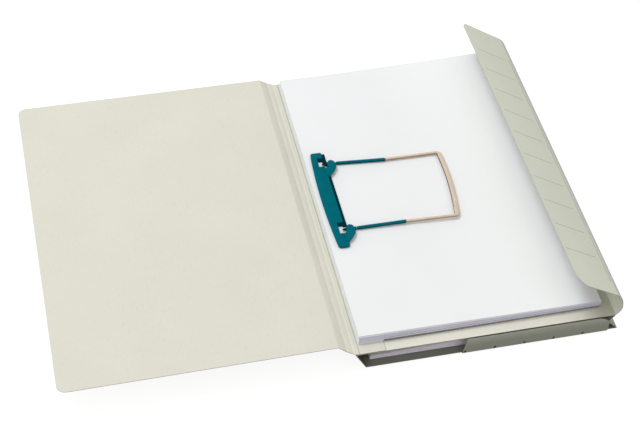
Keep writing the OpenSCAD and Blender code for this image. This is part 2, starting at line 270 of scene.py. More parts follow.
# finishes: noise as scale, detail and stretch, bump as strength and depth
cardGrain = {"cloud": (22, 3), "fibre": (700, 2, (1, 0.35, 1)), "fleck": (0, 0.35, 0.58, 0.72),
             "rough": (0.68, 0.82), "gloss": 0.25, "tooth": (1900, 3), "bump": (0.12, 0.00012)}
paperGrain = {"cloud": (14, 2), "fibre": (2400, 3), "rough": (0.82, 0.95), "gloss": 0.15,
              "bump": (0.06, 0.00006)}
plasticGrain = {"cloud": (90, 2), "skinDetail": 2, "bump": (0.05, 0.00008)}


def towards(nodes, links, place, colour, paintedRamp):
    # passes from one colour to another along an axis, between two places on it, for painted light and painted
    # shade
    axis, fromPlace, toPlace, tint = paintedRamp
    split = nodes.new("ShaderNodeSeparateXYZ")
    links.new(place.outputs["Object"], split.inputs["Vector"])
    share = rangeNode(nodes, links, split.outputs[axis], 0, 1, fromPlace * mm, toPlace * mm)
    return mixNode(nodes, links, share, colour, tint)


def cardFinish(name, tint, shade, fleck, paintedRamp=None):
    material, nodes, links, shader, place = startMaterial(name)
    cloud = noiseNode(nodes, links, place, *cardGrain["cloud"])
    mottled = mixNode(nodes, links, rangeNode(nodes, links, cloud.outputs["Fac"], 0, 1), tint, shade)
    fibre = noiseNode(nodes, links, place, *cardGrain["fibre"])
    flecks = rangeNode(nodes, links, fibre.outputs["Fac"], *cardGrain["fleck"])
    flecked = mixNode(nodes, links, flecks, mottled, fleck)
    if paintedRamp is not None:
        flecked = towards(nodes, links, place, flecked, paintedRamp)
    links.new(flecked, shader.inputs["Base Color"])
    links.new(rangeNode(nodes, links, fibre.outputs["Fac"], *cardGrain["rough"]), shader.inputs["Roughness"])
    shader.inputs["Specular IOR Level"].default_value = cardGrain["gloss"]
    tooth = noiseNode(nodes, links, place, *cardGrain["tooth"])
    bumpNode(nodes, links, shader, tooth.outputs["Fac"], *cardGrain["bump"])
    return material


def paperFinish(name, tint, shade, paintedRamps=()):
    material, nodes, links, shader, place = startMaterial(name)
    cloud = noiseNode(nodes, links, place, *paperGrain["cloud"])
    mottled = mixNode(nodes, links, rangeNode(nodes, links, cloud.outputs["Fac"], 0, 1), tint, shade)
    for paintedRamp in paintedRamps:
        mottled = towards(nodes, links, place, mottled, paintedRamp)
    links.new(mottled, shader.inputs["Base Color"])
    fibre = noiseNode(nodes, links, place, *paperGrain["fibre"])
    links.new(rangeNode(nodes, links, fibre.outputs["Fac"], *paperGrain["rough"]), shader.inputs["Roughness"])
    shader.inputs["Specular IOR Level"].default_value = paperGrain["gloss"]
    bumpNode(nodes, links, shader, fibre.outputs["Fac"], *paperGrain["bump"])
    return material


def plasticFinish(name, tint, shade, roughLow, roughHigh, grain, gloss):
    material, nodes, links, shader, place = startMaterial(name)
    cloud = noiseNode(nodes, links, place, *plasticGrain["cloud"])
    mottled = mixNode(nodes, links, rangeNode(nodes, links, cloud.outputs["Fac"], 0, 1), tint, shade)
    links.new(mottled, shader.inputs["Base Color"])
    shader.inputs["Specular IOR Level"].default_value = gloss
    skin = noiseNode(nodes, links, place, grain, plasticGrain["skinDetail"])
    links.new(rangeNode(nodes, links, skin.outputs["Fac"], roughLow, roughHigh), shader.inputs["Roughness"])
    bumpNode(nodes, links, shader, skin.outputs["Fac"], *plasticGrain["bump"])
    return material


coverCard = cardFinish("coverCard", srgb(223, 222, 208), srgb(220, 219, 205), srgb(208, 207, 191))
# the cut edges are painted darker than the card's face, as painted shade along them
coverCutPaintedShade = cardFinish("coverCardCutPaintedShade", srgb(196, 197, 182), srgb(188, 189, 174), srgb(176, 177, 161))
coverBead = cardFinish("coverCardBead", srgb(221, 220, 206), srgb(217, 216, 202), srgb(205, 204, 189))
flapCard = cardFinish("flapCard", srgb(220, 223, 208), srgb(217, 220, 205), srgb(205, 208, 191))
# the walls' inner faces are painted lighter than the card, as painted light under the closing flap; their outer
# faces darker, as painted shade
wallInnerPaintedLight = cardFinish("wallInnerPaintedLight", srgb(238, 239, 225), srgb(235, 236, 222), srgb(224, 225, 209))
wallOuterPaintedShade = cardFinish("wallOuterPaintedShade", srgb(205, 207, 201), srgb(202, 204, 198), srgb(190, 192, 185))
# darker towards the wall, as painted shade under the closing flap beside the sheets
dividerPaintedShadeRight = cardFinish("dividerPaintedShadeRight", srgb(234, 233, 219), srgb(231, 230, 216), srgb(219, 218, 203),
                         ("X", 55, 96, srgb(200, 200, 186)))
# dark lines: the flange's crease score, and a painted shadow line at the flange's cut end
coverScoreAndShadow = cardFinish("coverCardScoreAndShadow", srgb(190, 190, 176), srgb(182, 182, 168), srgb(200, 200, 186))
# the spine strips are painted lighter than the cover card, most towards the divider, as painted light on their
# slopes
stripsPaintedLight = [cardFinish("stripInnerPaintedLight", srgb(243, 242, 228), srgb(240, 239, 225), srgb(228, 227, 212)),
              cardFinish("stripMiddlePaintedLight", srgb(234, 233, 219), srgb(231, 230, 216), srgb(219, 218, 203)),
              cardFinish("stripOuterPaintedLight", srgb(229, 228, 214), srgb(226, 225, 211), srgb(214, 213, 198))]
pocketCard = cardFinish("pocketCard", srgb(171, 174, 160), srgb(166, 169, 155), srgb(154, 157, 141))
# lighter towards the flap's top edge, as painted light
pocketFrontPaintedLight = cardFinish("pocketFrontPaintedLight", srgb(171, 174, 160), srgb(166, 169, 155), srgb(154, 157, 141),
                         ("Z", 10, 18, srgb(192, 195, 181)))
# the left gusset, a strip behind the pocket flap's nicks and the nicks' walls are painted dark, as painted
# shade inside the pocket
pocketPaintedShade = cardFinish("pocketPaintedShade", srgb(90, 91, 79), srgb(85, 86, 74), srgb(78, 79, 67))
pocketCut = cardFinish("pocketCardCut", srgb(164, 165, 151), srgb(156, 157, 143), srgb(144, 145, 130))
# lighter towards the middle, as painted light, and lavender-grey towards the right, as painted shade beside the
# closing flap
paperFacePaintedLightAndShade = paperFinish("paperFacePaintedLightAndShade", srgb(243, 244, 245), srgb(240, 242, 243),
                        (("X", -30, 40, srgb(250, 251, 252)), ("X", 56, 86, srgb(234, 234, 241))))
plainPaper = paperFinish("plainPaper", srgb(243, 244, 245), srgb(240, 242, 243))
# the sheets' edges are painted greyer and more lavender than their faces, as painted shade
paperEdgePaintedShade = paperFinish("paperEdgePaintedShade", srgb(231, 228, 250), srgb(216, 213, 237))
looseEdgePaintedShade = paperFinish("looseEdgePaintedShade", srgb(246, 241, 255), srgb(237, 231, 250))
sideEdgePaintedShade = paperFinish("sideEdgePaintedShade", srgb(228, 229, 233), srgb(214, 215, 220))
# near black, as a painted shadow in the gaps under and between the piles
paintedGapShadow = paperFinish("paintedGapShadow", srgb(30, 29, 33), srgb(26, 25, 29))
# the back panel is painted darker than the pocket card, as painted shade inside the pocket
backPanelPaintedShade = cardFinish("backPanelPaintedShade", srgb(138, 140, 132), srgb(133, 135, 127), srgb(123, 125, 116))
clipShade = plasticFinish("clipShade", srgb(0, 50, 60), srgb(0, 46, 56), 0.5, 0.64, 900, 0.02)
clipPlastic = plasticFinish("clipPlastic", srgb(0, 106, 119), srgb(0, 99, 112), 0.46, 0.60, 900, 0.02)
loopPlastic = plasticFinish("loopPlastic", srgb(222, 206, 188), srgb(214, 197, 178), 0.46, 0.62, 700, 0.2)
loopShade = plasticFinish("loopShade", srgb(176, 154, 136), srgb(168, 146, 128), 0.5, 0.64, 700, 0.1)
loopInnerShade = plasticFinish("loopInnerShade", srgb(122, 108, 112), srgb(114, 101, 105), 0.5, 0.64, 700, 0.1)
ruleInk = cardFinish("ruleInk", srgb(160, 160, 146), srgb(148, 148, 134), srgb(186, 186, 172))
print("finishes made")

# crease lines and edges of the card, as x and z in millimetres
creases = {
    "coverEdge": (-358.05, 27.63), "cover": (-135.081, 30.740), "middle": (-128.493, 25.212),
    "inner": (-122.896, 21.715), "divider": (-120.2, 20.4), "wall": (104.6, 19.8), "bulge": (107.606, 33.473),
    "flap": (99.703, 47.385), "flapTip": (57.16, 74.59), "left": (-110, 0.45), "leftTop": (-120.2, 19.2),
    "right": (110, 0.45), "fold": (99.4, 11.5), "rightTop": (104.28, 18.42),
}
panelY = (-157, 157)
cardForm = {"cornerSteps": 10, "creaseSteps": 4, "creaseShare": 0.49, "cutShare": 0.16, "bowBands": 12,
            "waveBands": (8, 12), "beadRadius": 0.38, "beadShort": 0.04, "beadSteps": 12}
faceLook, cutLook, beadLook, scoreAndShadowLook, outerLook = range(5)  # places in a card piece's list of finishes


def slab(width, length, thick, startRound, endRound, nearCorner=0, farCorner=0):
    # a flat piece of card along x, level at z 0, its creased ends rounded on their crease lines
    bm = bmesh.new()
    bmesh.ops.create_grid(bm, x_segments=1, y_segments=1, size=0.5)
    first = -thick / 2 if startRound else 0
    last = width + (thick / 2 if endRound else 0)
    bmesh.ops.scale(bm, vec=(last - first, length, 1), verts=bm.verts[:])
    bmesh.ops.translate(bm, vec=((first + last) / 2, 0, -thick / 2), verts=bm.verts[:])
    for sign, radius in ((-1, nearCorner), (1, farCorner)):
        if radius:
            corner = [v for v in bm.verts if v.co.x > last - samePlace
                      and v.co.y * sign > length / 2 - samePlace]
            roundOff(bm, corner, radius, cardForm["cornerSteps"], "VERTICES")
    thicken(bm, thick)
    bmesh.ops.recalc_face_normals(bm, faces=bm.faces[:])
    for face in bm.faces:
        face.material_index = cutLook if abs(face.normal.z) < facing else faceLook
    creased = []
    cutEdges = []
    for edge in bm.edges:
        a, b = edge.verts
        if abs(a.co.z - b.co.z) > weld:
            continue
        atStart = max(a.co.x, b.co.x) < first + samePlace
        atEnd = min(a.co.x, b.co.x) > last - samePlace
        if (atStart and startRound) or (atEnd and endRound):
            creased.append(edge)
        else:
            cutEdges.append(edge)
    if creased:
        for face in {f for e in creased for f in e.link_faces}:
            face.material_index = faceLook
        roundOff(bm, creased, thick * cardForm["creaseShare"], cardForm["creaseSteps"], "EDGES")
        cutEdges = [e for e in cutEdges if e.is_valid]
    roundOff(bm, cutEdges, thick * cardForm["cutShare"], 1, "EDGES")
    return bm


def laid(bm, start, end, midY):
    # turns a slab from level to the line from start to end
    direction = Vector((end[0] - start[0], 0, end[1] - start[1])).normalized()
    across = Vector((0, 1, 0))
    turn = Matrix((direction, across, direction.cross(across))).transposed().to_4x4()
    turn.translation = Vector((start[0], midY, start[1])) * mm
    bmesh.ops.transform(bm, matrix=turn, verts=bm.verts[:])
    return bm


def addBead(bm, x, length):
    # the raised bead of a scored crease, along y
    before = set(bm.faces)
    radius = cardForm["beadRadius"] * mm
    lie = Matrix.Translation((x * mm, 0, 0)) @ Matrix.Rotation(math.radians(90), 4, "X")
    bmesh.ops.create_cone(bm, cap_ends=True, segments=cardForm["beadSteps"], radius1=radius, radius2=radius,
                          depth=(length - cardForm["beadShort"]) * mm, matrix=lie)
    for face in bm.faces:
        if face not in before:
            face.material_index = beadLook


def cardStrip(start, end, thick, startRound=True, endRound=True, bow=0, nearCorner=0, farCorner=0, wave=None,
              trim=(0, 0), bead=None):
    width = math.hypot(end[0] - start[0], end[1] - start[1])
    length = panelY[1] - panelY[0] - 2 * trim[0]
    bm = slab(width * mm, length * mm, thick * mm, startRound, endRound, nearCorner * mm, farCorner * mm)
    if bow:
        bands = cardForm["bowBands"]
        cutAcross(bm, [width * mm * k / bands for k in range(1, bands)], "x")
        for v in bm.verts:
            s = within(v.co.x / (width * mm))
            v.co.z += bow * mm * 4 * s * (1 - s)
    if wave is not None:
        waveHigh, waveTurn, waveStart = wave
        bandsX, bandsY = cardForm["waveBands"]
        cutAcross(bm, [width * mm * k / bandsX for k in range(1, bandsX)], "x")
        cutAcross(bm, [length * mm * (k / bandsY - 0.5) for k in range(1, bandsY)], "y")
        for v in bm.verts:
            s = within(v.co.x / (width * mm))
            v.co.z += waveHigh * mm * s * math.sin(v.co.y / mm * waveTurn + waveStart)
    runIn = trim[1] - trim[0]
    if runIn:
        for v in bm.verts:
            s = within(v.co.x / (width * mm))
            v.co.y -= math.copysign(runIn * s * mm, v.co.y)
    if bead == "end":
        addBead(bm, width, length - 2 * runIn)
    if bead == "start":
        addBead(bm, 0, length)
    return laid(bm, start, end, (panelY[0] + panelY[1]) / 2)


# cover sheet: cover, three spine strips, glued flange
coverSheet = {"thick": 0.60, "stripThick": 0.56, "corner": 7, "wave": (0.5, 0.021, 0.7),
              "trims": (0, 0.363, 1.160, 2.2), "flangeWidth": 24.8, "flangeThick": 0.58, "scoreX": -117.4,
              "scoreWide": 0.7, "flangeShadowX": -95.1, "flangeShadowWide": 0.6, "lineProud": 0.03, "lineShort": 0.4}
c = creases
cover = cardStrip(c["cover"], c["coverEdge"], coverSheet["thick"], endRound=False,
                  nearCorner=coverSheet["corner"], farCorner=coverSheet["corner"], wave=coverSheet["wave"],
                  trim=(coverSheet["trims"][3],) * 2)
cardLooks = [coverCard, coverCutPaintedShade, coverBead, coverScoreAndShadow]
finishPiece("frontCover", cover, cardLooks, "front_cover", ["front_cover"])
spineStrips = (("Inner", "divider", "inner", "stripThick"), ("Middle", "inner", "middle", "thick"),
               ("Outer", "middle", "cover", "stripThick"))
for k, (part, low, high, thickness) in enumerate(spineStrips):
    strip = cardStrip(c[low], c[high], coverSheet[thickness], trim=coverSheet["trims"][k:k + 2], bead="end")
    finishPiece("spineStrip" + part, strip, [stripsPaintedLight[k]] + cardLooks[1:], "spine_" + part.lower(),
                ["spine_strip_" + part.lower()])
flangeEnd = (c["divider"][0] + coverSheet["flangeWidth"], c["divider"][1])
flangeBm = cardStrip(c["divider"], flangeEnd, coverSheet["flangeThick"], endRound=False, bead="start")
before = set(flangeBm.faces)
flangeTop = c["divider"][1] + coverSheet["flangeThick"] / 2
dividerTop = c["wall"][1] + coverSheet["thick"] / 2
# the first line is the flange's score; the second, at the flange's cut end, is a painted shadow of that end on
# the divider
for lineX, lineWide, lineZ in ((coverSheet["scoreX"], coverSheet["scoreWide"], flangeTop),
                               (coverSheet["flangeShadowX"], coverSheet["flangeShadowWide"], dividerTop)):
    line = bmesh.ops.create_cube(flangeBm, size=1)["verts"]
    lineSize = (lineWide, panelY[1] - panelY[0] - coverSheet["lineShort"], coverSheet["lineProud"] * 2)
    bmesh.ops.scale(flangeBm, vec=Vector(lineSize) * mm, verts=line)
    bmesh.ops.translate(flangeBm, vec=Vector((lineX, 0, lineZ)) * mm, verts=line)
for face in flangeBm.faces:
    if face not in before:
        face.material_index = scoreAndShadowLook
finishPiece("glueFlange", flangeBm, cardLooks, "divider_unit", ["glue_flange"])

# divider sheet: divider, two wall strips, closing flap
dividerSheet = {"thick": 0.60, "wallThick": 0.56, "left": -119.8, "lowerBow": -2.2, "upperBow": -1.6,
                "outerTilt": 0.3, "flapNear": 13, "flapFar": 6, "flapRunIn": (0.8, 4.4)}
dividerStart = (dividerSheet["left"], c["wall"][1])
dividerBm = cardStrip(dividerStart, c["wall"], dividerSheet["thick"], startRound=False, bead="end")
finishPiece("divider", dividerBm, [dividerPaintedShadeRight] + cardLooks[1:], "divider_unit", ["divider"])
flapLooks = [flapCard] + cardLooks[1:]
wallLooks = [wallInnerPaintedLight] + cardLooks[1:] + [wallOuterPaintedShade]


def paintShadeOnOuter(bm):
    # the walls' outer faces take a darker finish than their inner faces: painted shade outside, painted light
    # inside
    bmesh.ops.recalc_face_normals(bm, faces=bm.faces[:])
    for face in bm.faces:
        if face.material_index == faceLook and face.normal.x > dividerSheet["outerTilt"]:
            face.material_index = outerLook


wallBm = cardStrip(c["wall"], c["bulge"], dividerSheet["wallThick"], bow=dividerSheet["lowerBow"], bead="end")
paintShadeOnOuter(wallBm)
finishPiece("flapWallLower", wallBm, wallLooks, "flap_wall_lower", ["flap_wall_lower"])
wallBm = cardStrip(c["bulge"], c["flap"], dividerSheet["thick"], bow=dividerSheet["upperBow"], bead="end")
paintShadeOnOuter(wallBm)
finishPiece("flapWallUpper", wallBm, wallLooks, "flap_wall_upper", ["flap_wall_upper"])
flapBm = cardStrip(c["flap"], c["flapTip"], dividerSheet["wallThick"], endRound=False,
                   nearCorner=dividerSheet["flapNear"], farCorner=dividerSheet["flapFar"])
flapStart = Vector((c["flap"][0], 0, c["flap"][1]))
flapRun = Vector((c["flapTip"][0], 0, c["flapTip"][1])) - flapStart
flapWide = flapRun.length
flapRun.normalize()
farCut, nearCut = dividerSheet["flapRunIn"]
for v in flapBm.verts:
    # the tip's edge runs in towards the near end
    along = max((v.co / mm - flapStart).dot(flapRun) / flapWide, 0)
    nearness = (panelY[1] - v.co.y / mm) / (panelY[1] - panelY[0])
    v.co -= flapRun * (farCut + (nearCut - farCut) * nearness) * along * mm
finishPiece("closingFlap", flapBm, flapLooks, "closing_flap", ["closing_flap"])

# ruled lines across the flap's outer face and one beside its crease, as start, end, place along y and width
rules = {"count": 10, "firstY": -118.5, "pitch": 26.9, "from": 8, "to": 44, "width": 0.42, "proud": 0.03,
         "fold": (1.0, 1.5, -8, 270)}
flapOut = Vector((flapRun.z, 0, -flapRun.x))
rulesBm = bmesh.new()
ruled = [(rules["from"], rules["to"], rules["firstY"] + rules["pitch"] * k, rules["width"])
         for k in range(rules["count"])] + [rules["fold"]]
for start, end, y, width in ruled:
    made = bmesh.ops.create_cube(rulesBm, size=1)["verts"]
    bmesh.ops.scale(rulesBm, vec=Vector((end - start, width, rules["proud"] * 2)) * mm, verts=made)
    turn = Matrix((flapRun, Vector((0, 1, 0)), flapRun.cross(Vector((0, 1, 0))))).transposed().to_4x4()
    middle = flapStart + flapRun * (start + end) / 2
    middle += flapOut * dividerSheet["wallThick"] / 2
    middle.y = y
    turn.translation = middle * mm
    bmesh.ops.transform(rulesBm, matrix=turn, verts=made)
finishPiece("flapRules", rulesBm, [ruleInk], "closing_flap", [])
print("cover and divider sheets made")

# pocket: back panel, gussets, pocket flap
pocket = {"thick": 0.60, "foldThick": 0.56, "flangeThick": 0.58, "flangeZ": 19.2, "leftFlangeEnd": -110.5,
          "leftBow": 0.01, "backLeft": -110, "backRight": 110, "tab": (-28, 101), "lip": (1.4, 0.56),
          "lipY": -157.3, "creaseY": -158, "creaseZ": 0.45, "flapHigh": 18.6, "slant": 2, "flapRound": 11.5,
          "roundSteps": 10, "nickCount": 5, "nickFirst": -26.6, "nickPitch": 26, "nickLong": 1.7,
          "nickHigh": 3.0}
paintedShadeLook = 2  # place of the painted shade in the finishes of the back panel and the pocket flap
tabWide = pocket["tab"][1] - pocket["tab"][0]
tabMiddle = sum(pocket["tab"]) / 2
backZ = pocket["thick"] / 2
backBm = cardStrip((pocket["backLeft"], backZ), (pocket["backRight"], backZ), pocket["thick"])
# a strip behind the nicks, painted dark as the shade seen through them
lip = bmesh.ops.create_cube(backBm, size=1)["verts"]
bmesh.ops.scale(backBm, vec=Vector((tabWide, *pocket["lip"])) * mm, verts=lip)
for face in {f for v in lip for f in v.link_faces}:
    face.material_index = paintedShadeLook
bmesh.ops.translate(backBm, vec=Vector((tabMiddle, pocket["lipY"], backZ)) * mm, verts=lip)
finishPiece("backPanel", backBm, [backPanelPaintedShade, pocketCut, pocketPaintedShade], "pocket_base", ["back_panel"])

# the left gusset's slight bow cuts it into bands
gussetLeft = cardStrip(c["left"], c["leftTop"], pocket["foldThick"], bow=pocket["leftBow"])
leftPiece = finishPiece("leftGusset", gussetLeft, [pocketPaintedShade, pocketCut], None, ["left_gusset"])
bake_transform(leftPiece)
leftFlange = cardStrip(c["leftTop"], (pocket["leftFlangeEnd"], pocket["flangeZ"]), pocket["flangeThick"],
                       endRound=False)
finishPiece("leftGussetFlange", leftFlange, [pocketCard, pocketCut], "divider_unit", ["left_gusset_flange"])
finishPiece("rightGussetLower", cardStrip(c["right"], c["fold"], pocket["foldThick"]),
            [pocketCard, pocketCut], "right_gusset_lower", ["right_gusset_lower"])
finishPiece("rightGussetUpper", cardStrip(c["fold"], c["rightTop"], pocket["thick"], endRound=False),
            [pocketCard, pocketCut], "right_gusset_upper", ["right_gusset_upper"])
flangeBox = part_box("right_gusset_flange")
rightFlange = cardStrip((flangeBox[0][0] / mm, pocket["flangeZ"]), (flangeBox[1][0] / mm, pocket["flangeZ"]),
                        pocket["flangeThick"], startRound=False, endRound=False)
finishPiece("rightGussetFlange", rightFlange, [pocketCard, pocketCut], "divider_unit",
            ["right_gusset_flange"])

# the pocket flap is cut out flat and then stood up
pocketBm = bmesh.new()
bmesh.ops.create_grid(pocketBm, x_segments=1, y_segments=1, size=0.5)
bmesh.ops.scale(pocketBm, vec=Vector((tabWide, pocket["flapHigh"], 1)) * mm, verts=pocketBm.verts[:])
tabCentre = Vector((tabMiddle, pocket["flapHigh"] / 2, 0))
bmesh.ops.translate(pocketBm, vec=tabCentre * mm, verts=pocketBm.verts[:])
topEdge = pocket["flapHigh"] * mm - samePlace
topLeft = [v for v in pocketBm.verts if v.co.y > topEdge and v.co.x < 0]
bmesh.ops.translate(pocketBm, vec=(pocket["slant"] * mm, 0, 0), verts=topLeft)
topRight = [v for v in pocketBm.verts if v.co.y > topEdge and v.co.x > 0]
roundOff(pocketBm, topRight, pocket["flapRound"] * mm, pocket["roundSteps"], "VERTICES")
nickSpans = []
for k in range(pocket["nickCount"]):
    nickStart = (pocket["nickFirst"] + pocket["nickPitch"] * k) * mm
    nickSpans.append((nickStart, nickStart + pocket["nickLong"] * mm))
cutAcross(pocketBm, [x for span in nickSpans for x in span], "x")
cutAcross(pocketBm, [pocket["nickHigh"] * mm], "y")
nicks = []
for face in pocketBm.faces:
    centre = face.calc_center_median()
    if centre.y < pocket["nickHigh"] * mm and any(a < centre.x < b for a, b in nickSpans):
        nicks.append(face)
bmesh.ops.delete(pocketBm, geom=nicks, context="FACES")
thicken(pocketBm, pocket["thick"] * mm)
bmesh.ops.recalc_face_normals(pocketBm, faces=pocketBm.faces[:])
# the nicks' walls take the painted shade, the other side faces the cut finish
for face in pocketBm.faces:
    if abs(face.normal.z) < facing:
        inNick = face.calc_center_median().y < pocket["nickHigh"] * mm + samePlace
        face.material_index = paintedShadeLook if inNick else cutLook
stand = Matrix(((1, 0, 0), (0, 0, 1), (0, 1, 0))).to_4x4()
stand.translation = Vector((0, pocket["creaseY"] - pocket["thick"] / 2, pocket["creaseZ"])) * mm
bmesh.ops.transform(pocketBm, matrix=stand, verts=pocketBm.verts[:])
finishPiece("pocketFlap", pocketBm, [pocketFrontPaintedLight, pocketCut, pocketPaintedShade], "pocket_flap", ["pocket_flap"])
print("pocket made")

# sheets: thin leaves laid one by one, each a little out of line
filed = {"left": -116, "wide": 210, "near": -146.6, "long": 299.0, "flangeTop": 20.75, "dividerTop": 20.14,
         "flangeEnd": -95.4, "fallFrom": -92, "fall": 50, "topLeft": 29.66, "topRight": 25.86,
         "nearLift": 2.1, "nearFrom": -60, "nearRun": 80, "curl": 11.5, "curlFrom": (-105, -40),
         "curlRun": (195, 190), "curlPower": 1.3, "curlShare": 1.5, "shares": (0, 0.4, 0.73, 1),
         "leaves": (18, 15, 12), "slip": 0.35, "stagger": 1.6, "setBack": ((0, 8), (0, 2), (0, 0)),
         "inset": 0.2, "darkFrom": -95.4, "holeX": -96.2, "holeY": (-36.2, 40), "holeR": 1.9,
         "face": paperFacePaintedLightAndShade, "edge": paperEdgePaintedShade}
loose = {"left": -105.4, "wide": 210, "near": -150.4, "long": 297, "under": 0.66, "leftT": 5.3, "midT": 7.9,
         "rightT": 2.4, "slope": 70, "shares": (0, 0.55, 1), "leaves": (20, 16), "slip": 0.3, "stagger": 0,
         "setBack": ((0, 0), (0, 0)), "inset": 0, "darkFrom": 0, "face": plainPaper, "edge": looseEdgePaintedShade}
leafForm = {"cutsX": 20, "cutsY": 10, "holeMargin": 1.2, "holeSteps": 20, "group": 4, "jitter": 0.12,
            "low": 0.005, "high": 0.985}
leafEdge, leafPaintedShadow, leafSide = 1, 2, 3  # places in a pile's list of finishes


def blankLeaf(settings, holes):
    bm = bmesh.new()
    bmesh.ops.create_grid(bm, x_segments=leafForm["cutsX"], y_segments=leafForm["cutsY"], size=0.5)
    bmesh.ops.scale(bm, vec=Vector((settings["wide"], settings["long"], 1)) * mm, verts=bm.verts[:])
    centre = Vector((settings["left"] + settings["wide"] / 2, settings["near"] + settings["long"] / 2, 0))
    bmesh.ops.translate(bm, vec=centre * mm, verts=bm.verts[:])
    for hx, hy, radius in holes:
        reach = radius + leafForm["holeMargin"]
        cutAcross(bm, [(hx - reach) * mm, (hx + reach) * mm], "x")
        cutAcross(bm, [(hy - reach) * mm, (hy + reach) * mm], "y")
        inside = []
        for face in bm.faces:
            middle = face.calc_center_median() / mm
            if abs(middle.x - hx) < reach and abs(middle.y - hy) < reach:
                inside.append(face)
        rim = [e for e in {e for f in inside for e in f.edges} if sum(f in inside for f in e.link_faces) == 1]
        bmesh.ops.delete(bm, geom=inside, context="FACES")
        ring = bmesh.ops.create_circle(bm, segments=leafForm["holeSteps"], radius=radius * mm)["verts"]
        bmesh.ops.translate(bm, vec=Vector((hx, hy, 0)) * mm, verts=ring)
        rim += list({e for v in ring for e in v.link_edges})
        bmesh.ops.triangle_fill(bm, use_beauty=True, edges=[e for e in rim if e.is_valid])
    return bm


def leafPile(name, settings, bundle, height, holes, body, node):
    leaves = settings["leaves"][bundle]
    firstDark, endDark = settings["setBack"][bundle]
    lowShare, highShare = settings["shares"][bundle:bundle + 2]
    step = (highShare - lowShare) / leaves
    leaf = blankLeaf(settings, holes)
    thicken(leaf, 1)
    bmesh.ops.recalc_face_normals(leaf, faces=leaf.faces[:])
    for face in leaf.faces:
        if abs(face.normal.y) > facing:
            face.material_index = leafEdge
        elif abs(face.normal.x) > facing:
            face.material_index = leafSide
    leafMesh = bpy.data.meshes.new(name + "Leaf")
    leaf.to_mesh(leafMesh)
    leaf.free()
    midY = (settings["near"] + settings["long"] / 2) * mm
    pile = bmesh.new()
    for k in range(leaves):
        before = len(pile.verts)
        beforeFaces = len(pile.faces)
        pile.from_mesh(leafMesh)
        pile.verts.ensure_lookup_table()
        pile.faces.ensure_lookup_table()
        if k % leafForm["group"] == 0:
            groupX = dice.uniform(-1, 1) * settings["slip"]
            groupY = dice.uniform(-1, 1) * settings["slip"]
        slipX = (groupX + dice.uniform(-leafForm["jitter"], leafForm["jitter"])) * mm
        slipY = (groupY + dice.uniform(-leafForm["jitter"], leafForm["jitter"])) * mm
        shrink = 0
        # the set-back leaves' near edges get the painted gap shadow
        if firstDark <= k < endDark:
            shrink = settings["inset"] * mm
            for face in pile.faces[beforeFaces:]:
                pastStart = face.calc_center_median().x > settings["darkFrom"] * mm
                if face.normal.y < -facing and pastStart:
                    face.material_index = leafPaintedShadow
        for v in pile.verts[before:]:
            share = lowShare + step * (k + (leafForm["high"] if v.co.z > 0.5 else leafForm["low"]))
            lean = 1 - (v.co.x / mm - settings["left"]) / settings["wide"]
            v.co.z = height(v.co.x / mm, v.co.y / mm, share) * mm
            v.co.x += slipX
            v.co.y += slipY - shrink * (v.co.y - midY) / (settings["long"] * mm / 2)
            v.co.y -= settings["stagger"] * (1 - share) * lean * mm
    bpy.data.meshes.remove(leafMesh)
    looks = [settings["face"], settings["edge"], paintedGapShadow, sideEdgePaintedShade]
    finishPiece(name, pile, looks, body, [node], sharp=50)


def filedHeight(x, y, share):
    # the sheets lie on the flange and the divider, and their far right corner curls up
    f = filed
    slide = within((x - f["flangeEnd"]) / (f["left"] + f["wide"] - f["flangeEnd"]))
    top = f["topLeft"] + (f["topRight"] - f["topLeft"]) * slide
    top += f["nearLift"] * slide * ease((f["nearFrom"] - y) / f["nearRun"])
    above = f["flangeTop"] - f["dividerTop"]
    under = f["dividerTop"] + above * (1 - ease((x - f["fallFrom"]) / f["fall"]))
    curlX = within((x - f["curlFrom"][0]) / f["curlRun"][0])
    curlY = within((y - f["curlFrom"][1]) / f["curlRun"][1])
    lift = f["curl"] * curlX ** f["curlPower"] * curlY ** f["curlPower"] * share ** f["curlShare"]
    return under + (top - under) * share + lift


def looseHeight(x, y, share):
    # the pile is thinner towards both sides
    s = loose
    rise = ease((x - s["left"]) / s["slope"])
    fall = ease((s["left"] + s["wide"] - x) / s["slope"])
    thick = s["midT"] - (s["midT"] - s["leftT"]) * (1 - rise) - (s["midT"] - s["rightT"]) * (1 - fall)
    return s["under"] + thick * share


filedHoles = [(filed["holeX"], y, filed["holeR"]) for y in filed["holeY"]]
for k, part in enumerate(("Bottom", "Middle", "Top")):
    leafPile("filedSheets" + part, filed, k, filedHeight, filedHoles, "divider_unit",
             "filed_sheets_" + part.lower())
for k, part in enumerate(("Bottom", "Top")):
    leafPile("looseSheets" + part, loose, k, looseHeight, [], "loose_sheets", "loose_sheets_" + part.lower())
print("sheets laid")

# filing clip: bowed bar with hooks, prongs, carrying loop
clip = {"barRight": -100.2, "barLeft": -112.5, "endLeft": -110, "barNear": -55, "barFar": 54, "barLow": 29.88,
        "barHigh": 32.47, "barCuts": 24, "cornerFar": 1.6, "cornerNear": 2.4, "cornerSteps": 5, "edge": 0.35,
        "edgeSteps": 3, "planSteps": 4, "edgeAngle": 1.0, "notchX": -105.6,
        "notches": ((37.4, 47.4), (-40.4, -28.4)), "pitWide": 2.5, "pitHigh": 30.8, "pitLow": 0.02,
        "pitOver": 0.2, "pitSlant": 0.8, "hookX": -99, "hookLow": 32.66, "hookHigh": 34.3,
        "hookRound": 1.0, "hookEdge": 0.5, "rootClear": 0.06, "rampX": (3.0, 5.0), "rampY": (-3.0, 3.0),
        "tailOver": 0.6, "farHook": (0, 38.8), "nearHook": (-1.5, -36.8),
        "lips": ((-32.5, 27.2), (41.5, 53.0)), "lipInside": -1, "lipWide": 2.7, "lipHigh": 31.0, "lipEdge": 0.2}
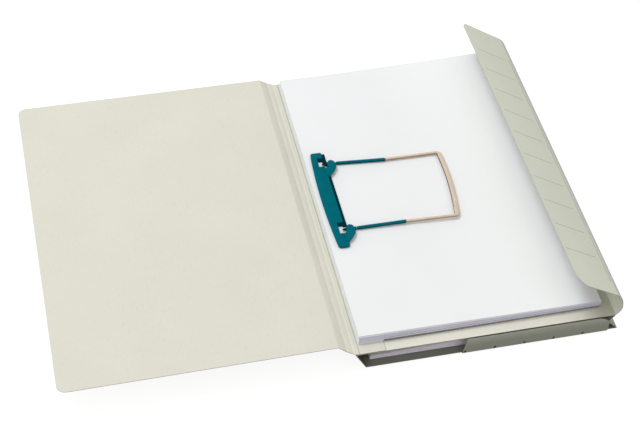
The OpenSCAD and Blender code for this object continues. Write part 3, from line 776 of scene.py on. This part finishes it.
hookPlan = [(-3.0, -13.8), (-0.1, -14.0), (2.4, -12.4), (4.8, -9.9), (8.0, -5.4), (8.3, -0.8), (6.8, 2.8),
            (4.0, 3.9), (1.6, 2.4), (0.6, -0.6), (1.2, -3.6), (-3.0, -5.6)]
tailPlan = [(-2.4, -13.3), (-0.2, -12.8), (2.4, -10.6), (7.2, -4.9), (7.9, -1.9), (2.0, -1.9), (1.2, -2.9),
            (-2.4, -5.4)]
plainLook, shadeLook, innerShadeLook = range(3)  # places in the clip's and the loop's lists of finishes


def plate(bm, plan, low, high, rounding, edgeRound, offset=(0, 0), rampTo=None, look=plainLook):
    # a flat plate of the given plan, its corners and upper edges rounded, added to the piece
    own = bmesh.new()
    corners = [own.verts.new(((x + offset[0]) * mm, (y + offset[1]) * mm, low * mm)) for x, y in plan]
    own.faces.new(corners)
    if rounding:
        roundOff(own, corners, rounding * mm, clip["planSteps"], "VERTICES")
    lifted = thicken(own, (high - low) * mm)
    if edgeRound:
        topEdges = [e for e in own.edges if all(v in lifted for v in e.verts)]
        roundOff(own, topEdges, edgeRound * mm, clip["edgeSteps"], "EDGES")
    if rampTo is not None:
        # the root runs down to the bar
        for v in own.verts:
            x = v.co.x / mm - offset[0]
            y = v.co.y / mm - offset[1]
            share = within((clip["rampX"][0] - x) / clip["rampX"][1])
            share *= within((clip["rampY"][0] - y) / clip["rampY"][1])
            v.co.z -= share * (high - rampTo) * mm
    for face in own.faces:
        face.material_index = look
    bmesh.ops.recalc_face_normals(own, faces=own.faces[:])
    plateMesh = bpy.data.meshes.new("plate")
    own.to_mesh(plateMesh)
    own.free()
    bm.from_mesh(plateMesh)
    bpy.data.meshes.remove(plateMesh)


barBm = bmesh.new()
bmesh.ops.create_grid(barBm, x_segments=1, y_segments=clip["barCuts"], size=0.5)
barLong = clip["barFar"] - clip["barNear"]
barWide = clip["barRight"] - clip["barLeft"]
barCentre = Vector((clip["barLeft"] + barWide / 2, clip["barNear"] + barLong / 2, clip["barLow"]))
bmesh.ops.scale(barBm, vec=Vector((barWide, barLong, 1)) * mm, verts=barBm.verts[:])
bmesh.ops.translate(barBm, vec=barCentre * mm, verts=barBm.verts[:])
for v in barBm.verts:
    if v.co.x < barCentre.x * mm:
        s = (v.co.y / mm - clip["barNear"]) / barLong * 2 - 1
        v.co.x = (clip["barLeft"] + (clip["endLeft"] - clip["barLeft"]) * s * s) * mm
cutAcross(barBm, [y * mm for span in clip["notches"] for y in span], "y")
cutAcross(barBm, [clip["notchX"] * mm], "x")
notches = []
for face in barBm.faces:
    middle = face.calc_center_median() / mm
    if middle.x > clip["notchX"] and any(low < middle.y < high for low, high in clip["notches"]):
        notches.append(face)
bmesh.ops.delete(barBm, geom=notches, context="FACES")
for y, radius in ((clip["barNear"], clip["cornerNear"]), (clip["barFar"], clip["cornerFar"])):
    ends = [v for v in barBm.verts if abs(v.co.y - y * mm) < samePlace and len(v.link_faces) == 1]
    roundOff(barBm, ends, radius * mm, clip["cornerSteps"], "VERTICES")
thicken(barBm, (clip["barHigh"] - clip["barLow"]) * mm)
bmesh.ops.recalc_face_normals(barBm, faces=barBm.faces[:])
sharpEdges = [e for e in barBm.edges if len(e.link_faces) == 2 and e.calc_face_angle() > clip["edgeAngle"]
              and abs(e.verts[0].co.z - e.verts[1].co.z) < weld]
roundOff(barBm, sharpEdges, clip["edge"] * mm, clip["edgeSteps"], "EDGES")
for shiftX, hookY in (clip["farHook"], clip["nearHook"]):
    hookPlace = (clip["hookX"] + shiftX, hookY)
    plate(barBm, hookPlan, clip["hookLow"], clip["hookHigh"], clip["hookRound"], clip["hookEdge"], hookPlace,
          rampTo=clip["barHigh"] + clip["rootClear"])
    plate(barBm, tailPlan, clip["barLow"], clip["hookLow"] + clip["tailOver"], 0, 0, hookPlace)
for low, high in clip["notches"]:
    pitLeft = clip["notchX"] - clip["pitOver"]
    pitRight = clip["barRight"] + clip["pitOver"]
    pitNear = high - clip["pitWide"]
    pitFar = high + clip["pitOver"]
    pitPlan = [(pitLeft, pitNear), (pitRight, pitNear - clip["pitSlant"]), (pitRight, pitFar),
               (pitLeft, pitFar)]
    plate(barBm, pitPlan, clip["barLow"] + clip["pitLow"], clip["pitHigh"], 0, 0, look=shadeLook)
for low, high in clip["lips"]:
    lipPlan = [(clip["lipInside"], low), (clip["lipWide"], low), (clip["lipWide"], high),
               (clip["lipInside"], high)]
    plate(barBm, lipPlan, clip["barLow"], clip["lipHigh"], 0, clip["lipEdge"], (clip["barRight"], 0),
          look=shadeLook)
clipLooks = [clipPlastic, clipShade]
finishPiece("clipBar", barBm, clipLooks, "clip_bar", ["clip_bar"], sharp=40)

# each prong as the y of its root, the y of its tip and the x of its tip, its rod as x and radius
prongs = {"rootX": -104, "z": 31.3, "radius": 1.5, "kneeX": -88.75, "far": (40, 37.2, -45.3),
          "near": (-36.2, -36.2, -46.2), "domeSteps": 4, "domeLeast": 0.05,
          "rod": ((-86, 1.52), (-70, 1.5), (-55, 1.53), (-49.5, 1.58)), "tip": ((-0.3, 1.58), (0, 1.4)),
          "darkTilt": -0.85}

# base strip under the divider, with uprights through the sheets and the roots of the prongs
base = {"left": -110, "right": -98, "half": 52, "low": 18.3, "high": 19.48, "corner": 2, "edge": 0.2,
        "webClear": 0.06, "webHigh": 1.1, "webRound": 0.3, "rootHigh": 1.2, "rootEdge": 0.5,
        "uprightX": -96.2, "uprightR": 0.8, "uprightSteps": 16}
webPlan = [(1.4, -0.5), (3.8, -0.8), (5.2, -1.8), (7.0, -1.8), (8.6, -0.8), (13.6, -0.8),
           (13.6, 0.8), (8.6, 0.8), (7.0, 1.8), (5.2, 1.8), (3.8, 0.8), (1.4, 0.5)]
rootPlan = [(7.0, -1.4), (13.6, -1.4), (13.6, 1.4), (7.0, 1.4)]
basePlan = [(base["left"], -base["half"]), (base["right"], -base["half"]), (base["right"], base["half"]),
            (base["left"], base["half"])]
webBm = bmesh.new()
plate(webBm, basePlan, base["low"], base["high"], base["corner"], base["edge"])
for rootY in (prongs["far"][0], prongs["near"][0]):
    rootPlace = (prongs["rootX"], rootY)
    plate(webBm, webPlan, clip["lipHigh"] + base["webClear"], prongs["z"] + base["webHigh"], base["webRound"],
          base["webRound"], rootPlace, look=shadeLook)
    plate(webBm, rootPlan, clip["barLow"], prongs["z"] + base["rootHigh"], 0, base["rootEdge"], rootPlace)
    uprightPlace = Vector((base["uprightX"], rootY, (base["low"] + prongs["z"]) / 2))
    bmesh.ops.create_cone(webBm, cap_ends=True, segments=base["uprightSteps"], radius1=base["uprightR"] * mm,
                          radius2=base["uprightR"] * mm, depth=(prongs["z"] - base["low"]) * mm,
                          matrix=Matrix.Translation(uprightPlace * mm))
finishPiece("clipBase", webBm, clipLooks, "divider_unit", ["clip_base"], sharp=40)


def rod(bm, stations, segments=16):
    # a closed rod through stations of place, direction, half width and half height
    ring = None
    last = None
    for place, direction, halfWide, halfHigh in stations:
        along = Vector(direction).normalized()
        side = Vector((0, 0, 1)).cross(along).normalized()
        over = along.cross(side)
        turn = Matrix((side * halfWide, over * halfHigh, along)).transposed().to_4x4()
        turn.translation = Vector(place)
        if ring is None:
            ring = bmesh.ops.create_circle(bm, cap_ends=True, segments=segments, radius=1)["verts"]
        else:
            edges = [e for e in {e for v in ring for e in v.link_edges} if all(w in ring for w in e.verts)]
            made = bmesh.ops.extrude_edge_only(bm, edges=edges)["geom"]
            ring = [g for g in made if isinstance(g, bmesh.types.BMVert)]
            bmesh.ops.transform(bm, matrix=last.inverted(), verts=ring)
        bmesh.ops.transform(bm, matrix=turn, verts=ring)
        last = turn
    edges = [e for e in {e for v in ring for e in v.link_edges} if all(w in ring for w in e.verts)]
    bmesh.ops.contextual_create(bm, geom=edges)


# prongs: a domed knee, a slightly swelling body and a tip
prongBody = []
for k in range(prongs["domeSteps"] + 1):
    turnBy = math.radians(90 - 90 * k / prongs["domeSteps"])
    domeX = prongs["kneeX"] - prongs["radius"] * math.sin(turnBy)
    prongBody.append((domeX, max(prongs["radius"] * math.cos(turnBy), prongs["domeLeast"])))
prongBody += prongs["rod"]
for name, (rootY, tipY, tipX) in (("Far", prongs["far"]), ("Near", prongs["near"])):
    stations = []
    for x, r in prongBody + [(tipX + past, r) for past, r in prongs["tip"]]:
        y = rootY + (tipY - rootY) * max((x - prongs["kneeX"]) / (tipX - prongs["kneeX"]), 0)
        stations.append(((x * mm, y * mm, prongs["z"] * mm), (1, 0, 0), r * mm, r * mm))
    prongBm = bmesh.new()
    rod(prongBm, stations)
    bmesh.ops.recalc_face_normals(prongBm, faces=prongBm.faces[:])
    for face in prongBm.faces:
        face.material_index = shadeLook if face.normal.y < prongs["darkTilt"] else plainLook
    finishPiece("prong" + name, prongBm, clipLooks, "prongs", ["prong_" + name.lower()],
                sharp=50)

# carrying loop: two legs, two bends and a flat end bar with a rib, and pins inside the prongs
loop = {"start": -45.5, "leg": 45.4, "legAt": (0, 0.4, 14, 28), "legR": 1.4, "legTip": 0.86, "corner": 3,
        "bendSteps": 6, "barSteps": 6, "barWide": 2.6, "barHigh": 0.8, "bow": 2.2, "skew": (0.45, 2.4),
        "farEnd": 37.4, "nearEnd": -37.3, "innerTilt": -0.35, "nearTilt": -0.7, "ribWide": 0.75,
        "ribHigh": 1.25, "ribSteps": 12, "pinR": 0.62, "pinLong": 12, "pinPoint": (0.3, 0.7),
        "pinInside": 0.5, "pinSteps": 10}
loopZ = prongs["z"]
loopEnd = loop["start"] + loop["leg"]
farBend = loop["farEnd"] - loop["corner"]
nearBend = loop["nearEnd"] + loop["corner"]


def legPoints(side, endY):
    points = []
    for x in (*loop["legAt"], loop["leg"] - loop["corner"]):
        radius = loop["legR"] if x else loop["legR"] * loop["legTip"]
        points.append((loop["start"] + x, side + (endY - side) * x / loop["leg"], radius, radius))
    return points


def bendPoints(centreY, firstTurn):
    points = []
    for k in range(loop["bendSteps"] + 1):
        share = k / loop["bendSteps"]
        turned = math.radians(firstTurn - 90 * share)
        flat = share if firstTurn > 0 else 1 - share
        wide = loop["legR"] + (loop["barWide"] - loop["legR"]) * flat
        high = loop["legR"] + (loop["barHigh"] - loop["legR"]) * flat
        x = loopEnd + loop["corner"] * math.cos(turned)
        points.append((x, centreY + loop["corner"] * math.sin(turned), wide, high))
    return points


endBar = []
for k in range(1, 2 * loop["barSteps"]):
    along = k / loop["barSteps"] - 1
    x = loopEnd + loop["corner"] + loop["bow"] * (1 - along * along)
    y = (farBend + nearBend) / 2 - along * (farBend - nearBend) / 2
    endBar.append((x, y, loop["barWide"], loop["barHigh"]))
loopPoints = legPoints(prongs["far"][1], loop["farEnd"]) + bendPoints(farBend, 90) + endBar
loopPoints += bendPoints(nearBend, 0) + legPoints(prongs["near"][1], loop["nearEnd"])[::-1]
skewed = []
for x, y, wide, high in loopPoints:
    share = (x - loop["start"]) / loop["leg"]
    shift = (loop["skew"][0] * (1 - share) + loop["skew"][1] * share) * y / loop["farEnd"]
    skewed.append((x + shift, y, wide, high))
loopPath = []
for k, (x, y, wide, high) in enumerate(skewed):
    if k in (0, len(skewed) - 1):
        direction = Vector((1 if k == 0 else -1, 0, 0))
    else:
        direction = Vector((skewed[k + 1][0] - skewed[k - 1][0], skewed[k + 1][1] - skewed[k - 1][1], 0))
    loopPath.append(((x * mm, y * mm, loopZ * mm), direction, wide * mm, high * mm))
loopBm = bmesh.new()
rod(loopBm, loopPath)
bmesh.ops.recalc_face_normals(loopBm, faces=loopBm.faces[:])
# the end bar's inner side gets a dark line and the legs' near and inner sides a darker tone, as painted shade
for face in loopBm.faces:
    if face.normal.x < loop["innerTilt"] and face.calc_center_median().x > loopEnd * mm:
        face.material_index = innerShadeLook
    elif face.normal.x < loop["innerTilt"] or face.normal.y < loop["nearTilt"]:
        face.material_index = shadeLook
ribSkip = len(loop["legAt"]) + 1 + loop["bendSteps"]  # the rib runs from the end of one bend to the other
ribPath = []
for place, direction, wide, high in loopPath[ribSkip:-ribSkip]:
    ribPath.append((place, direction, loop["ribWide"] * mm, loop["ribHigh"] * mm))
rod(loopBm, ribPath, loop["ribSteps"])
pinStart = loop["start"] - loop["pinLong"]
pointLong, pointShare = loop["pinPoint"]
pin = [(pinStart, loop["pinR"] * pointShare), (pinStart + pointLong, loop["pinR"]),
       (loop["start"] + loop["pinInside"], loop["pinR"])]
for tipY in (prongs["far"][1], prongs["near"][1]):
    pinPath = [((x * mm, tipY * mm, loopZ * mm), (1, 0, 0), r * mm, r * mm) for x, r in pin]
    rod(loopBm, pinPath, loop["pinSteps"])
finishPiece("carryingLoop", loopBm, [loopPlastic, loopShade, loopInnerShade], "transfer_loop", ["transfer_loop"],
            sharp=50)
print("clip made")
